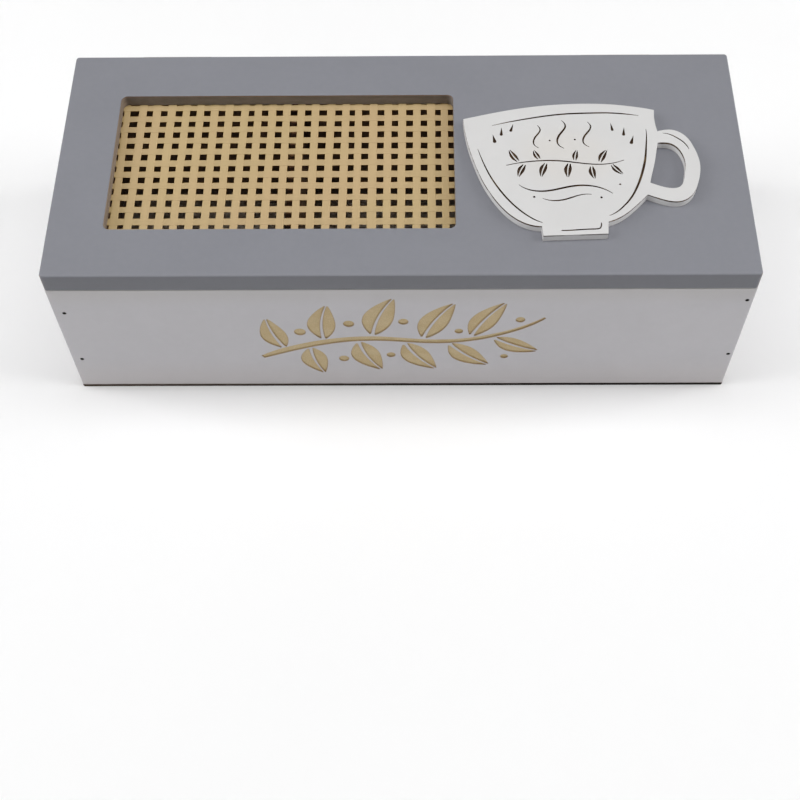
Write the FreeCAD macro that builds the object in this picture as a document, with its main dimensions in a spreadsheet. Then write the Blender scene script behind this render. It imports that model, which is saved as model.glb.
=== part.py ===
"""Three-compartment tea box with a hinged lid.

Frame: millimetres, +Z up, +X to the right, the front faces -Y.
Origin: centre of the underside's footprint, on the plane the box stands on.

The box is a butt-jointed MDF case on a thin bottom board, divided in three,
under one flat lid. The lid carries a woven rattan panel in a window and a cup
cut-out as an ornament, and turns on two small butt hinges at the back.
"""
import FreeCAD, Part
import Sketcher
import math
import os

from FreeCAD import Vector, Placement, Rotation

DOC = FreeCAD.newDocument("TeaBox")

# ---------------------------------------------------------------- dimensions
SHEET = DOC.addObject("Spreadsheet::Sheet", "params")
SHEET.Label = "params"

DIMS = [
    # case
    ("box_wide", 240.0, "outer width, X"),
    ("box_deep", 100.0, "outer depth, Y"),
    ("box_high", 70.0, "height to the top of the lid"),
    ("wall_thick", 6.0, "front, back and side panels"),
    ("base_thick", 2.0, "bottom board"),
    ("rim_gap", 0.05, "air under the closed lid"),
    ("divider_thick", 3.0, "divider boards"),
    ("divider_off", 38.5, "divider centre from the middle"),
    ("edge_round", 0.8, "outer vertical arrises of the case"),
    ("arris_round", 0.35, "eased rim arrises"),
    # lid
    ("lid_thick", 8.2, "lid board"),
    ("lid_round", 1.2, "vertical corners of the lid"),
    ("lid_top_round", 0.7, "top arris of the lid"),
    ("window_off", -41.0, "window centre, X"),
    ("window_wide", 119.8, "window, X"),
    ("window_deep", 60.6, "window, Y"),
    ("window_round", 2.2, "window corner radius"),
    ("rebate_wide", 132.8, "rebate for the weave, X"),
    ("rebate_deep", 72.0, "rebate for the weave, Y"),
    ("rebate_high", 3.6, "rebate, up from the underside"),
    ("rebate_round", 8.5, "rebate corner radius"),
    # weave
    ("weave_pitch", 5.23, "strip to strip, both ways"),
    ("weave_off", -0.4, "middle strip from the window's centre, X"),
    ("strip_wide_cross", 2.85, "width of the strips that run front to back"),
    ("strip_wide_long", 2.75, "width of the strips that run left to right"),
    ("strip_thick", 0.5, "thickness of a strip"),
    # cup ornament
    ("cup_thick", 3.0, "cut-out board"),
    ("cup_groove", 0.7, "depth of its engraved lines"),
    # front ornament
    ("engrave_step", 0.2, "scorched shoulder of the engraving"),
    ("engrave_deep", 0.45, "floor of the engraving"),
    # hinges
    ("hinge_long", 25.0, "leaf length, X"),
    ("hinge_left_off", -82.6, "centre of the left hinge"),
    ("hinge_right_off", 79.0, "centre of the right hinge"),
    ("leaf_thick", 0.5, "leaf sheet"),
    ("leaf_reach", 7.4, "axis to the leaf's far edge"),
    ("knuckle_radius", 1.05, "outside of the rolled knuckles"),
    ("axis_back", 1.1, "axis behind the rear face"),
    ("pin_radius", 0.45, "hinge pin"),
    ("bore_radius", 0.5, "bore of the turning knuckles"),
    ("fixed_bore_radius", 0.46, "bore of the knuckles fixed to the pin"),
    ("knuckle_play", 0.1, "axial gap between knuckles"),
    ("screw_off", 7.5, "screw from the hinge's middle"),
    ("screw_drop", 4.7, "screw from the axis"),
    ("screw_radius", 0.7, "screw shank"),
    ("screw_long", 5.0, "screw shank length in the wood"),
    ("screw_head_radius", 1.3, "screw head"),
    ("screw_head_high", 0.5, "screw head height"),
    # pin nails
    ("nail_radius", 0.35, "nail shank"),
    ("nail_head_radius", 0.48, "nail head"),
    ("nail_head_high", 0.35, "nail head height"),
    ("nail_sink", 0.25, "head below the surface"),
    ("nail_long", 17.0, "shank of a wall nail"),
    ("nail_base_long", 12.0, "shank of a bottom nail"),
    ("nail_play", 0.02, "air round a nail or screw in its hole"),
]
for row, (alias, value, note) in enumerate(DIMS, start=1):
    SHEET.set("A%d" % row, alias)
    SHEET.set("B%d" % row, repr(value))
    SHEET.set("C%d" % row, note)
    SHEET.setAlias("B%d" % row, alias)
DOC.recompute()
P = {alias: float(getattr(SHEET, alias)) for alias, _, _ in DIMS}


def ex(text):
    """Prefix every sheet alias in an expression with the sheet's name."""
    out, word = [], ""
    for ch in text + " ":
        if ch.isalnum() or ch == "_":
            word += ch
        else:
            out.append("params." + word if word in P else word)
            word = ""
            out.append(ch)
    return "".join(out).strip()


# ------------------------------------------------------------------- helpers
def new_body(name):
    body = DOC.addObject("PartDesign::Body", name)
    return body


def plane_of(body, role):
    for feature in body.Origin.OriginFeatures:
        if feature.Role == role:
            return feature
    raise RuntimeError(role)


def new_sketch(body, name, role, dx="0", dy="0", dz="0"):
    """Sketch on one of the body's own planes, moved by expressions."""
    sk = body.newObject("Sketcher::SketchObject", name)
    sk.AttachmentSupport = (plane_of(body, role), [""])
    sk.MapMode = "FlatFace"
    for key, text in (("x", dx), ("y", dy), ("z", dz)):
        if text != "0":
            sk.setExpression("AttachmentOffset.Base." + key, "(" + ex(text) + ") * 1 mm")
    return sk


def rectangle(sk, wide, deep):
    """Rectangle centred on the sketch's origin; sizes are expressions."""
    pts = [(-1, -1), (1, -1), (1, 1), (-1, 1)]
    geo = []
    for k in range(4):
        a, b = pts[k], pts[(k + 1) % 4]
        geo.append(sk.addGeometry(Part.LineSegment(Vector(a[0], a[1], 0), Vector(b[0], b[1], 0)), False))
    for k in range(4):
        sk.addConstraint(Sketcher.Constraint("Coincident", geo[k], 2, geo[(k + 1) % 4], 1))
    for k in (0, 2):
        sk.addConstraint(Sketcher.Constraint("Horizontal", geo[k]))
    for k in (1, 3):
        sk.addConstraint(Sketcher.Constraint("Vertical", geo[k]))
    sk.addConstraint(Sketcher.Constraint("Symmetric", geo[0], 1, geo[2], 1, -1, 1))
    c = sk.addConstraint(Sketcher.Constraint("DistanceX", geo[0], 1, geo[0], 2, 2.0))
    sk.setExpression("Constraints[%d]" % c, ex(wide))
    c = sk.addConstraint(Sketcher.Constraint("DistanceY", geo[1], 1, geo[1], 2, 2.0))
    sk.setExpression("Constraints[%d]" % c, ex(deep))
    return geo


def rounded_rectangle(sk, wide, deep, radius, w0, d0, r0):
    """Rectangle with four round corners, centred on the sketch's origin."""
    hw, hd = w0 / 2.0, d0 / 2.0
    V = Vector
    lines = [
        Part.LineSegment(V(-hw + r0, -hd, 0), V(hw - r0, -hd, 0)),
        Part.LineSegment(V(hw, -hd + r0, 0), V(hw, hd - r0, 0)),
        Part.LineSegment(V(hw - r0, hd, 0), V(-hw + r0, hd, 0)),
        Part.LineSegment(V(-hw, hd - r0, 0), V(-hw, -hd + r0, 0)),
    ]
    centres = [(hw - r0, -hd + r0), (hw - r0, hd - r0), (-hw + r0, hd - r0), (-hw + r0, -hd + r0)]
    L, A = [], []
    for k in range(4):
        L.append(sk.addGeometry(lines[k], False))
    for k in range(4):
        start = -math.pi / 2 + k * math.pi / 2
        circle = Part.Circle(V(centres[k][0], centres[k][1], 0), V(0, 0, 1), r0)
        A.append(sk.addGeometry(Part.ArcOfCircle(circle, start, start + math.pi / 2), False))
    for k in range(4):
        sk.addConstraint(Sketcher.Constraint("Tangent", L[k], 2, A[k], 1))
        sk.addConstraint(Sketcher.Constraint("Tangent", A[k], 2, L[(k + 1) % 4], 1))
    for k in (0, 2):
        sk.addConstraint(Sketcher.Constraint("Horizontal", L[k]))
    for k in (1, 3):
        sk.addConstraint(Sketcher.Constraint("Vertical", L[k]))
    for k in range(3):
        sk.addConstraint(Sketcher.Constraint("Equal", A[k], A[k + 1]))
    sk.addConstraint(Sketcher.Constraint("Symmetric", A[0], 3, A[2], 3, -1, 1))
    c = sk.addConstraint(Sketcher.Constraint("Radius", A[0], r0))
    sk.setExpression("Constraints[%d]" % c, ex(radius))
    c = sk.addConstraint(Sketcher.Constraint("DistanceX", L[3], 1, L[1], 1, w0))
    sk.setExpression("Constraints[%d]" % c, ex(wide))
    c = sk.addConstraint(Sketcher.Constraint("DistanceY", L[0], 1, L[2], 1, d0))
    sk.setExpression("Constraints[%d]" % c, ex(deep))


def pad(body, sk, name, length, reverse=False):
    f = body.newObject("PartDesign::Pad", name)
    f.Profile = sk
    f.Length = 1.0
    f.setExpression("Length", ex(length))
    f.Reversed = reverse
    return f


def pocket(body, sk, name, length, reverse=False, through=False):
    f = body.newObject("PartDesign::Pocket", name)
    f.Profile = sk
    f.Reversed = reverse
    if through:
        f.Type = "ThroughAll"
    else:
        f.Length = 1.0
        f.setExpression("Length", ex(length))
    return f


def edge_names(shape, test):
    """Names of the edges whose middle and direction pass the test."""
    names = []
    for n, e in enumerate(shape.Edges, start=1):
        a, b = e.FirstParameter, e.LastParameter
        mid = e.valueAt((a + b) / 2)
        d = e.valueAt(b) - e.valueAt(a)
        if test(mid, d, e):
            names.append("Edge%d" % n)
    return names


def fillet(body, name, base, radius, test):
    DOC.recompute()
    names = edge_names(base.Shape, test)
    if not names:
        raise RuntimeError("no edges for " + name)
    f = body.newObject("PartDesign::Fillet", name)
    f.Base = (base, names)
    f.Radius = 0.1
    f.setExpression("Radius", ex(radius))
    return f


def cylinder(name, radius, height, axis, x, y, z):
    """Part::Cylinder from (x, y, z) along +X, +Y, -Y or +Z; all sizes are expressions."""
    c = DOC.addObject("Part::Cylinder", name)
    c.setExpression("Radius", ex(radius))
    c.setExpression("Height", ex(height))
    turn = {
        "+Z": Rotation(),
        "+X": Rotation(Vector(0, 1, 0), 90),
        "+Y": Rotation(Vector(1, 0, 0), -90),
        "-Y": Rotation(Vector(1, 0, 0), 90),
    }[axis]
    c.Placement = Placement(Vector(), turn)
    for key, text in (("x", x), ("y", y), ("z", z)):
        c.setExpression("Placement.Base." + key, "(" + ex(text) + ") * 1 mm")
    return c


def box(name, sx, sy, sz, x, y, z):
    b = DOC.addObject("Part::Box", name)
    b.setExpression("Length", ex(sx))
    b.setExpression("Width", ex(sy))
    b.setExpression("Height", ex(sz))
    for key, text in (("x", x), ("y", y), ("z", z)):
        b.setExpression("Placement.Base." + key, "(" + ex(text) + ") * 1 mm")
    return b


def fuse(name, shapes):
    f = DOC.addObject("Part::MultiFuse", name)
    f.Shapes = shapes
    return f


def group(name, links):
    c = DOC.addObject("Part::Compound", name)
    c.Links = links
    return c


def cut(name, base, tool):
    c = DOC.addObject("Part::Cut", name)
    c.Base = base
    c.Tool = tool
    return c


NODES = []


def node(obj, label):
    """Mark an object as a sub-part; its label names its file."""
    obj.Label = label
    NODES.append(obj)
    return obj


RIM = "box_high - lid_thick - rim_gap"     # top of the walls
WALL = "box_high - lid_thick - rim_gap - base_thick"   # height of the walls
AXIS_Z = "box_high - lid_thick - rim_gap / 2"
AXIS_Y = "box_deep / 2 + axis_back"

# --------------------------------------------------------------------- nails
# Pin nails: a plain shank and a small head, set a little below the surface.
# Hand-driven, so their heights and distances vary by a millimetre or two.
NAILS_FRONT = [(-116.1, 48.5), (-116.3, 19.1), (117.7, 55.0), (118.0, 21.3)]
NAILS_BACK = [(-117.3, 50.6), (-116.6, 20.4), (116.9, 49.2), (117.4, 18.6)]
NAILS_BASE = [(-78.0, -47.1), (1.5, -46.8), (76.0, -47.3), (-74.0, 47.0),
              (-2.0, 46.9), (79.0, 47.2), (-117.1, 1.5), (116.8, -2.0)]


def nail_set(tag, spots, where):
    """Nails and the matching drillings, as two lists of objects."""
    nails, holes = [], []
    for k, (a, b) in enumerate(spots):
        n = "%s_%d" % (tag, k)
        if where == "front":
            y0 = "-box_deep / 2 + nail_sink"
            shank = cylinder(n + "_shank", "nail_radius", "nail_long", "+Y", "%r" % a, y0, "%r" % b)
            head = cylinder(n + "_head", "nail_head_radius", "nail_head_high", "+Y", "%r" % a, y0, "%r" % b)
            hs = cylinder(n + "_drill", "nail_radius + nail_play", "nail_long + nail_play", "+Y", "%r" % a, y0, "%r" % b)
            hh = cylinder(n + "_seat", "nail_head_radius + nail_play", "nail_head_high + nail_sink + 1", "+Y",
                          "%r" % a, "-box_deep / 2 - 1", "%r" % b)
        elif where == "back":
            y0 = "box_deep / 2 - nail_sink"
            shank = cylinder(n + "_shank", "nail_radius", "nail_long", "-Y", "%r" % a, y0, "%r" % b)
            head = cylinder(n + "_head", "nail_head_radius", "nail_head_high", "-Y", "%r" % a, y0, "%r" % b)
            hs = cylinder(n + "_drill", "nail_radius + nail_play", "nail_long + nail_play", "-Y", "%r" % a, y0, "%r" % b)
            hh = cylinder(n + "_seat", "nail_head_radius + nail_play", "nail_head_high + nail_sink + 1", "-Y",
                          "%r" % a, "box_deep / 2 + 1", "%r" % b)
        else:
            shank = cylinder(n + "_shank", "nail_radius", "nail_base_long", "+Z", "%r" % a, "%r" % b, "nail_sink")
            head = cylinder(n + "_head", "nail_head_radius", "nail_head_high", "+Z", "%r" % a, "%r" % b, "nail_sink")
            hs = cylinder(n + "_drill", "nail_radius + nail_play", "nail_base_long + nail_play", "+Z",
                          "%r" % a, "%r" % b, "nail_sink")
            hh = cylinder(n + "_seat", "nail_head_radius + nail_play", "nail_head_high + nail_sink + 1", "+Z",
                          "%r" % a, "%r" % b, "-1")
        nails.append(fuse(n + "_nail", [shank, head]))
        holes.append(fuse(n + "_hole", [hs, hh]))
    return nails, holes


front_nails, front_holes = nail_set("nf", NAILS_FRONT, "front")
back_nails, back_holes = nail_set("nb", NAILS_BACK, "back")
base_nails, base_holes = nail_set("nu", NAILS_BASE, "base")


# -------------------------------------------------------------- hinge screws
def screw_set(tag, centre, side):
    """Two screws of one leaf, driven from behind into the wood."""
    drop = "-screw_drop" if side == "body" else "+screw_drop"
    screws, holes, seats = [], [], []
    for k, sign in enumerate((-1, 1)):
        n = "%s_%s_%d" % (tag, side, k)
        x = "%s + %d * screw_off" % (centre, sign)
        z = AXIS_Z + " " + drop
        y_leaf = "box_deep / 2 + leaf_thick"
        shank = cylinder(n + "_shank", "screw_radius", "screw_long + leaf_thick", "-Y", x, y_leaf, z)
        head = DOC.addObject("Part::Cone", n + "_head")
        head.setExpression("Radius1", ex("screw_head_radius"))
        head.setExpression("Radius2", ex("screw_head_radius - 0.35"))
        head.setExpression("Height", ex("screw_head_high"))
        head.Placement = Placement(Vector(), Rotation(Vector(1, 0, 0), -90))
        for key, text in (("x", x), ("y", y_leaf), ("z", z)):
            head.setExpression("Placement.Base." + key, "(" + ex(text) + ") * 1 mm")
        solid = fuse(n + "_solid", [shank, head])
        bar_a = box(n + "_slot_a", "1.5", "0.5", "0.32", x + " - 0.75",
                    y_leaf + " + screw_head_high - 0.35", z + " - 0.16")
        bar_b = box(n + "_slot_b", "0.32", "0.5", "1.5", x + " - 0.16",
                    y_leaf + " + screw_head_high - 0.35", z + " - 0.75")
        cross = fuse(n + "_cross", [bar_a, bar_b])
        screws.append(cut(n + "_screw", solid, cross))
        holes.append(cylinder(n + "_drill", "screw_radius + nail_play", "screw_long + nail_play + 1", "-Y",
                              x, "box_deep / 2 + 1", z))
        seats.append(cylinder(n + "_clear", "screw_radius + 0.08", "leaf_thick + 2", "-Y",
                              x, "box_deep / 2 + leaf_thick + 1", z))
    return screws, holes, seats


HINGES = {"left": "hinge_left_off", "right": "hinge_right_off"}
screws = {"body": [], "lid": []}
screw_holes = {"body": [], "lid": []}
leaf_holes = {}
for side_name, centre in HINGES.items():
    for part_name in ("body", "lid"):
        s, h, c = screw_set(side_name, centre, part_name)
        screws[part_name] += s
        screw_holes[part_name] += h
        leaf_holes[(side_name, part_name)] = c

# -------------------------------------------------------------- bottom board
body = new_body("bottom_board")
sk = new_sketch(body, "bottom_outline", "XY_Plane")
rounded_rectangle(sk, "box_wide", "box_deep", "edge_round", P["box_wide"], P["box_deep"], P["edge_round"])
pad(body, sk, "bottom_pad", "base_thick")
node(cut("bottom_drilled", body, group("bottom_drill", base_holes)), "bottom_panel")

# ------------------------------------------------------- front and back walls
def long_wall(name, sign):
    """Front (sign -1) or back (sign +1) wall."""
    b = new_body(name)
    s = "-" if sign < 0 else ""
    sk = new_sketch(b, name + "_outline", "XY_Plane", dy="%s(box_deep - wall_thick) / 2" % s, dz="base_thick")
    rectangle(sk, "box_wide", "wall_thick")
    p = pad(b, sk, name + "_pad", WALL)
    face_y = sign * P["box_deep"] / 2
    corner = fillet(b, name + "_corner", p, "edge_round",
                    lambda m, d, e: abs(m.y - face_y) < 0.01 and abs(abs(m.x) - P["box_wide"] / 2) < 0.01
                    and abs(d.z) > 10)
    b.Tip = corner
    rim = P["box_high"] - P["lid_thick"] - P["rim_gap"]
    arris = fillet(b, name + "_arris", corner, "arris_round",
                   lambda m, d, e: abs(m.z - rim) < 0.01 and abs(d.x) > 20 and abs(d.y) < 0.01)
    b.Tip = arris
    return b


front = long_wall("front_wall", -1)
back = long_wall("back_wall", +1)


# ------------------------------------------------------ engraved front sprig
def spline(points, closed=False, start=None, end=None):
    c = Part.BSplineCurve()
    kw = {}
    if start is not None:
        kw["InitialTangent"] = start
    if end is not None:
        kw["FinalTangent"] = end
    c.interpolate(Points=points, PeriodicFlag=closed, **kw)
    return c


def ribbon(points, widths, lift):
    """Closed outline of a tapered stroke along a smooth centre line.

    points are (u, v), widths one per point, lift maps (u, v) to space."""
    n = len(points)
    centre = spline([Vector(u, v, 0) for u, v in points])
    a0, a1 = centre.FirstParameter, centre.LastParameter
    params = [centre.parameter(Vector(u, v, 0)) for u, v in points]
    params[0], params[-1] = a0, a1
    left, right = [], []
    for k, t in enumerate(params):
        p = centre.value(t)
        d = centre.tangent(t)[0]
        nrm = Vector(-d.y, d.x, 0)
        nrm.normalize()
        w = widths[k] / 2.0
        left.append(p + nrm * w)
        right.append(p - nrm * w)
    up = [lift(q.x, q.y) for q in left]
    down = [lift(q.x, q.y) for q in reversed(right)]
    edges = [
        spline(up).toShape(),
        Part.makeLine(up[-1], down[0]),
        spline(down).toShape(),
        Part.makeLine(down[-1], up[0]),
    ]
    return Part.Wire(edges)


def leaf_halves(base, tip, wide, vein, lift, bend=0.0):
    """Two closed outlines, one each side of a leaf's vein."""
    bx, by = base
    tx, ty = tip
    L = math.hypot(tx - bx, ty - by)
    ux, uy = (tx - bx) / L, (ty - by) / L
    nx, ny = -uy, ux

    def at(s, off):
        sag = bend * 4 * s * (1 - s)
        return lift(bx + ux * L * s + nx * (off + sag), by + uy * L * s + ny * (off + sag))

    wires = []
    for side in (1, -1):
        inner = [at(s, side * vein * (1 - 0.5 * s)) for s in (0.03, 0.3, 0.62, 0.95)]
        outer = [at(0.985, side * (vein * 0.5 + 0.1))]
        for s, k in ((0.9, 0.27), (0.78, 0.56), (0.62, 0.85), (0.45, 1.0), (0.28, 0.9), (0.13, 0.56)):
            outer.append(at(s, side * (vein * 0.6 + wide * k)))
        outer.append(at(0.02, side * (vein + 0.3)))
        edges = [
            spline(inner).toShape(),
            Part.makeLine(inner[-1], outer[0]),
            spline(outer).toShape(),
            Part.makeLine(outer[-1], inner[0]),
        ]
        wires.append(Part.Wire(edges))
    return wires


def disc(u, v, r, lift, normal):
    return Part.Wire([Part.makeCircle(r, lift(u, v), normal)])


def widened(wire, grow):
    """The outline moved out by grow, its long runs drawn again as plain splines."""
    outer = Part.Face(wire).makeOffset2D(grow, 0, False, False, False).Faces[0].OuterWire
    edges = []
    for e in outer.OrderedEdges:
        pts = e.discretize(13)
        if e.Orientation == "Reversed":
            pts.reverse()
        if edges:
            pts[0] = last
        else:
            first = pts[0]
        last = pts[-1]
        edges.append(pts)
    edges[-1][-1] = first
    out = []
    for pts, e in zip(edges, outer.OrderedEdges):
        if isinstance(e.Curve, Part.Line):
            out.append(Part.makeLine(pts[0], pts[-1]))
        elif isinstance(e.Curve, Part.Circle) and len(edges) == 1:
            out.append(e)
        elif isinstance(e.Curve, Part.Circle):
            out.append(Part.Arc(pts[0], pts[6], pts[-1]).toShape())
        else:
            out.append(spline(pts).toShape())
    return Part.Wire(out)


def sink(wires, direction, grow=0.0):
    """The outlines, widened all round by grow, pushed along a direction.

    The outlines stay clear of each other, so the solids are only grouped."""
    solids = []
    for w in wires:
        solids.append(Part.Face(widened(w, grow) if grow else w).extrude(direction))
    return Part.Compound(solids)


FRONT_Y = -P["box_deep"] / 2


def on_front(u, v):
    return Vector(u, FRONT_Y - 1.0, v)


# A long tea sprig: one wavy stem, leaves in turn above and below it, small
# round berries. Every stroke gets a narrow shoulder round a deeper floor.
STEM = [(-50.0, 20.4), (-44.0, 23.6), (-36.0, 27.0), (-24.0, 30.6), (-8.0, 32.0), (9.0, 30.2), (24.0, 31.2),
        (38.0, 36.2), (44.5, 40.0), (50.0, 44.6)]
STEM_W = [1.5, 2.6, 2.9, 2.7, 2.4, 2.1, 1.9, 1.5, 1.2, 0.6]
LEAVES = [
    # base, tip, half width, bend
    ((-42.0, 26.6), (-47.0, 44.5), 3.9, 0.9),
    ((-32.5, 26.0), (-28.5, 9.6), 4.1, -0.9),
    ((-27.5, 32.0), (-25.5, 52.4), 4.3, 1.2),
    ((-15.0, 29.6), (-7.4, 11.6), 4.5, -1.2),
    ((-10.0, 34.4), (-2.5, 56.4), 4.7, 1.3),
    ((1.5, 28.7), (12.4, 12.2), 4.4, -1.2),
    ((8.0, 32.4), (18.4, 53.4), 4.4, 1.2),
    ((17.5, 28.3), (31.4, 14.8), 4.1, -1.1),
    ((25.0, 33.8), (36.0, 53.6), 4.0, 1.0),
    ((33.4, 31.9), (48.8, 23.8), 3.5, -0.9),
]
BERRIES = [(-35.6, 36.4, 1.9), (-18.2, 41.4, 1.75), (0.9, 42.6, 1.6), (-20.8, 19.0, 1.65), (-3.7, 21.4, 1.4),
           (20.4, 36.6, 1.3), (41.6, 43.6, 1.45), (37.2, 20.2, 1.2)]


def sprig():
    wires = [ribbon(STEM, STEM_W, on_front)]
    for base, tip, wide, bend in LEAVES:
        wires += leaf_halves(base, tip, wide, 0.8, on_front, bend)
    for u, v, r in BERRIES:
        wires.append(disc(u, v, r, on_front, Vector(0, 1, 0)))
    return wires


step_tool = DOC.addObject("Part::Feature", "sprig_shoulder")
step_tool.Shape = sink(sprig(), Vector(0, 1.0 + P["engrave_step"], 0), 0.24)
floor_tool = DOC.addObject("Part::Feature", "sprig_floor")
floor_tool.Shape = sink(sprig(), Vector(0, 1.0 + P["engrave_deep"], 0))

step_cut = cut("front_shoulder", front, step_tool)
floor_cut = cut("front_floor", step_cut, floor_tool)
node(cut("front_drilled", floor_cut, group("front_drill", front_holes)), "front_panel")
back_drills = group("back_drill", back_holes + screw_holes["body"])
node(cut("back_drilled", back, back_drills), "back_panel")


# ---------------------------------------------------------------- side walls
def side_wall(name, sign, label, holes):
    b = new_body(name)
    s = "-" if sign < 0 else ""
    sk = new_sketch(b, name + "_outline", "XY_Plane", dx="%s(box_wide - wall_thick) / 2" % s, dz="base_thick")
    rectangle(sk, "wall_thick", "box_deep - 2 * wall_thick")
    p = pad(b, sk, name + "_pad", WALL)
    DOC.recompute()
    rim = P["box_high"] - P["lid_thick"] - P["rim_gap"]
    a = fillet(b, name + "_arris", p, "arris_round",
               lambda m, d, e: abs(m.z - rim) < 0.01 and abs(d.y) > 20)
    b.Tip = a
    return node(cut(name + "_drilled", b, group(name + "_drill", holes)), label)


side_wall("left_wall", -1, "side_panel_left", [front_holes[0], front_holes[1], back_holes[0], back_holes[1], base_holes[6]])
side_wall("right_wall", +1, "side_panel_right", [front_holes[2], front_holes[3], back_holes[2], back_holes[3], base_holes[7]])

# The bottom nails also enter the front and back walls.
for obj_name, extra in (("front_drill", base_holes[0:3]), ("back_drill", base_holes[3:6])):
    g = DOC.getObject(obj_name)
    g.Links = g.Links + extra


# ------------------------------------------------------------------ dividers
def divider(name, sign, label):
    """Board glued between the front and back walls and onto the bottom."""
    b = new_body(name)
    s = "-" if sign < 0 else ""
    sk = new_sketch(b, name + "_outline", "XY_Plane", dx=s + "divider_off", dz="base_thick")
    rectangle(sk, "divider_thick", "box_deep - 2 * wall_thick")
    p = pad(b, sk, name + "_pad", WALL)
    DOC.recompute()
    rim = P["box_high"] - P["lid_thick"] - P["rim_gap"]
    a = fillet(b, name + "_arris", p, "arris_round",
               lambda m, d, e: abs(m.z - rim) < 0.01 and abs(d.y) > 20)
    b.Tip = a
    return node(b, label)


divider("divider_a", -1, "divider_left")
divider("divider_b", +1, "divider_right")

node(group("front_nail_set", front_nails), "nails_front")
node(group("back_nail_set", back_nails), "nails_back")
node(group("base_nail_set", base_nails), "nails_bottom")

# ----------------------------------------------------------------------- lid
lid = new_body("lid_board")
sk = new_sketch(lid, "lid_outline", "XY_Plane", dz="box_high - lid_thick")
rounded_rectangle(sk, "box_wide", "box_deep", "lid_round", P["box_wide"], P["box_deep"], P["lid_round"])
lid_pad = pad(lid, sk, "lid_pad", "lid_thick")
sk = new_sketch(lid, "window_outline", "XY_Plane", dx="window_off", dz="box_high")
rounded_rectangle(sk, "window_wide", "window_deep", "window_round", P["window_wide"], P["window_deep"], P["window_round"])
window = pocket(lid, sk, "window_cut", "lid_thick")
DOC.recompute()
if lid_pad.Shape.Volume - window.Shape.Volume < 0.98 * P["window_wide"] * P["window_deep"] * P["lid_thick"]:
    raise RuntimeError("window")
sk = new_sketch(lid, "rebate_outline", "XY_Plane", dx="window_off", dz="box_high - lid_thick")
rounded_rectangle(sk, "rebate_wide", "rebate_deep", "rebate_round", P["rebate_wide"], P["rebate_deep"], P["rebate_round"])
rebate = pocket(lid, sk, "rebate_cut", "rebate_high", reverse=True)
DOC.recompute()
if not window.Shape.Volume - rebate.Shape.Volume > 0.9 * P["rebate_high"] * (
        P["rebate_wide"] * P["rebate_deep"] - P["window_wide"] * P["window_deep"]):
    raise RuntimeError("rebate")
top = P["box_high"]
under = P["box_high"] - P["lid_thick"]
x_left = P["window_off"] - P["window_wide"] / 2
on_outline = lambda m: (abs(abs(m.x) - P["box_wide"] / 2) < 0.5 or abs(abs(m.y) - P["box_deep"] / 2) < 0.5)
f1 = fillet(lid, "lid_top_arris", rebate, "lid_top_round",
            lambda m, d, e: abs(m.z - top) < 0.01 and on_outline(m))
f2 = fillet(lid, "lid_under_arris", f1, "arris_round",
            lambda m, d, e: abs(m.z - under) < 0.01 and on_outline(m))
f3 = fillet(lid, "window_arris", f2, "arris_round",
            lambda m, d, e: abs(m.z - top) < 0.01 and abs(m.x - P["window_off"]) < P["window_wide"] / 2 + 0.1
            and abs(m.y) < P["window_deep"] / 2 + 0.1)
lid.Tip = f3
node(cut("lid_drilled", lid, group("lid_drill", screw_holes["lid"])), "lid_panel")

# --------------------------------------------------------------- woven panel
# Flat strips of split rattan in a plain open weave: the crosswise strips lie
# on the lengthwise ones, and both are glued up under the lip of the window.
TOP_Z = "box_high - lid_thick + rebate_high"
cross = []
for k in range(25):
    x = "window_off + weave_off + weave_pitch * (%d)" % (k - 12)
    cross.append(box("cross_%02d" % k, "strip_wide_cross", "weave_pitch * 13 + strip_wide_long", "strip_thick",
                     x + " - strip_wide_cross / 2", "-(weave_pitch * 13 + strip_wide_long) / 2",
                     TOP_Z + " - strip_thick"))
along = []
for k in range(14):
    y = "weave_pitch * (%r)" % (k - 6.5)
    along.append(box("along_%02d" % k, "rebate_wide - 1.6", "strip_wide_long", "strip_thick",
                     "window_off - (rebate_wide - 1.6) / 2", y + " - strip_wide_long / 2",
                     TOP_Z + " - 2 * strip_thick"))
# The four outermost strips are trimmed to the rebate's round corners.
trim_body = new_body("weave_trim")
sk = new_sketch(trim_body, "weave_trim_outline", "XY_Plane", dx="window_off", dz="box_high - lid_thick")
rounded_rectangle(sk, "rebate_wide - 0.8", "rebate_deep - 0.6", "rebate_round - 0.4",
                  P["rebate_wide"] - 0.8, P["rebate_deep"] - 0.6, P["rebate_round"] - 0.4)
pad(trim_body, sk, "weave_trim_pad", "rebate_high")


def common(name, a, b):
    c = DOC.addObject("Part::MultiCommon", name)
    c.Shapes = [a, b]
    return c


node(common("cross_trimmed", group("cross_strips", cross), trim_body), "rattan_strips_crosswise")
node(common("along_trimmed", group("along_strips", along), trim_body), "rattan_strips_lengthwise")

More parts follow.
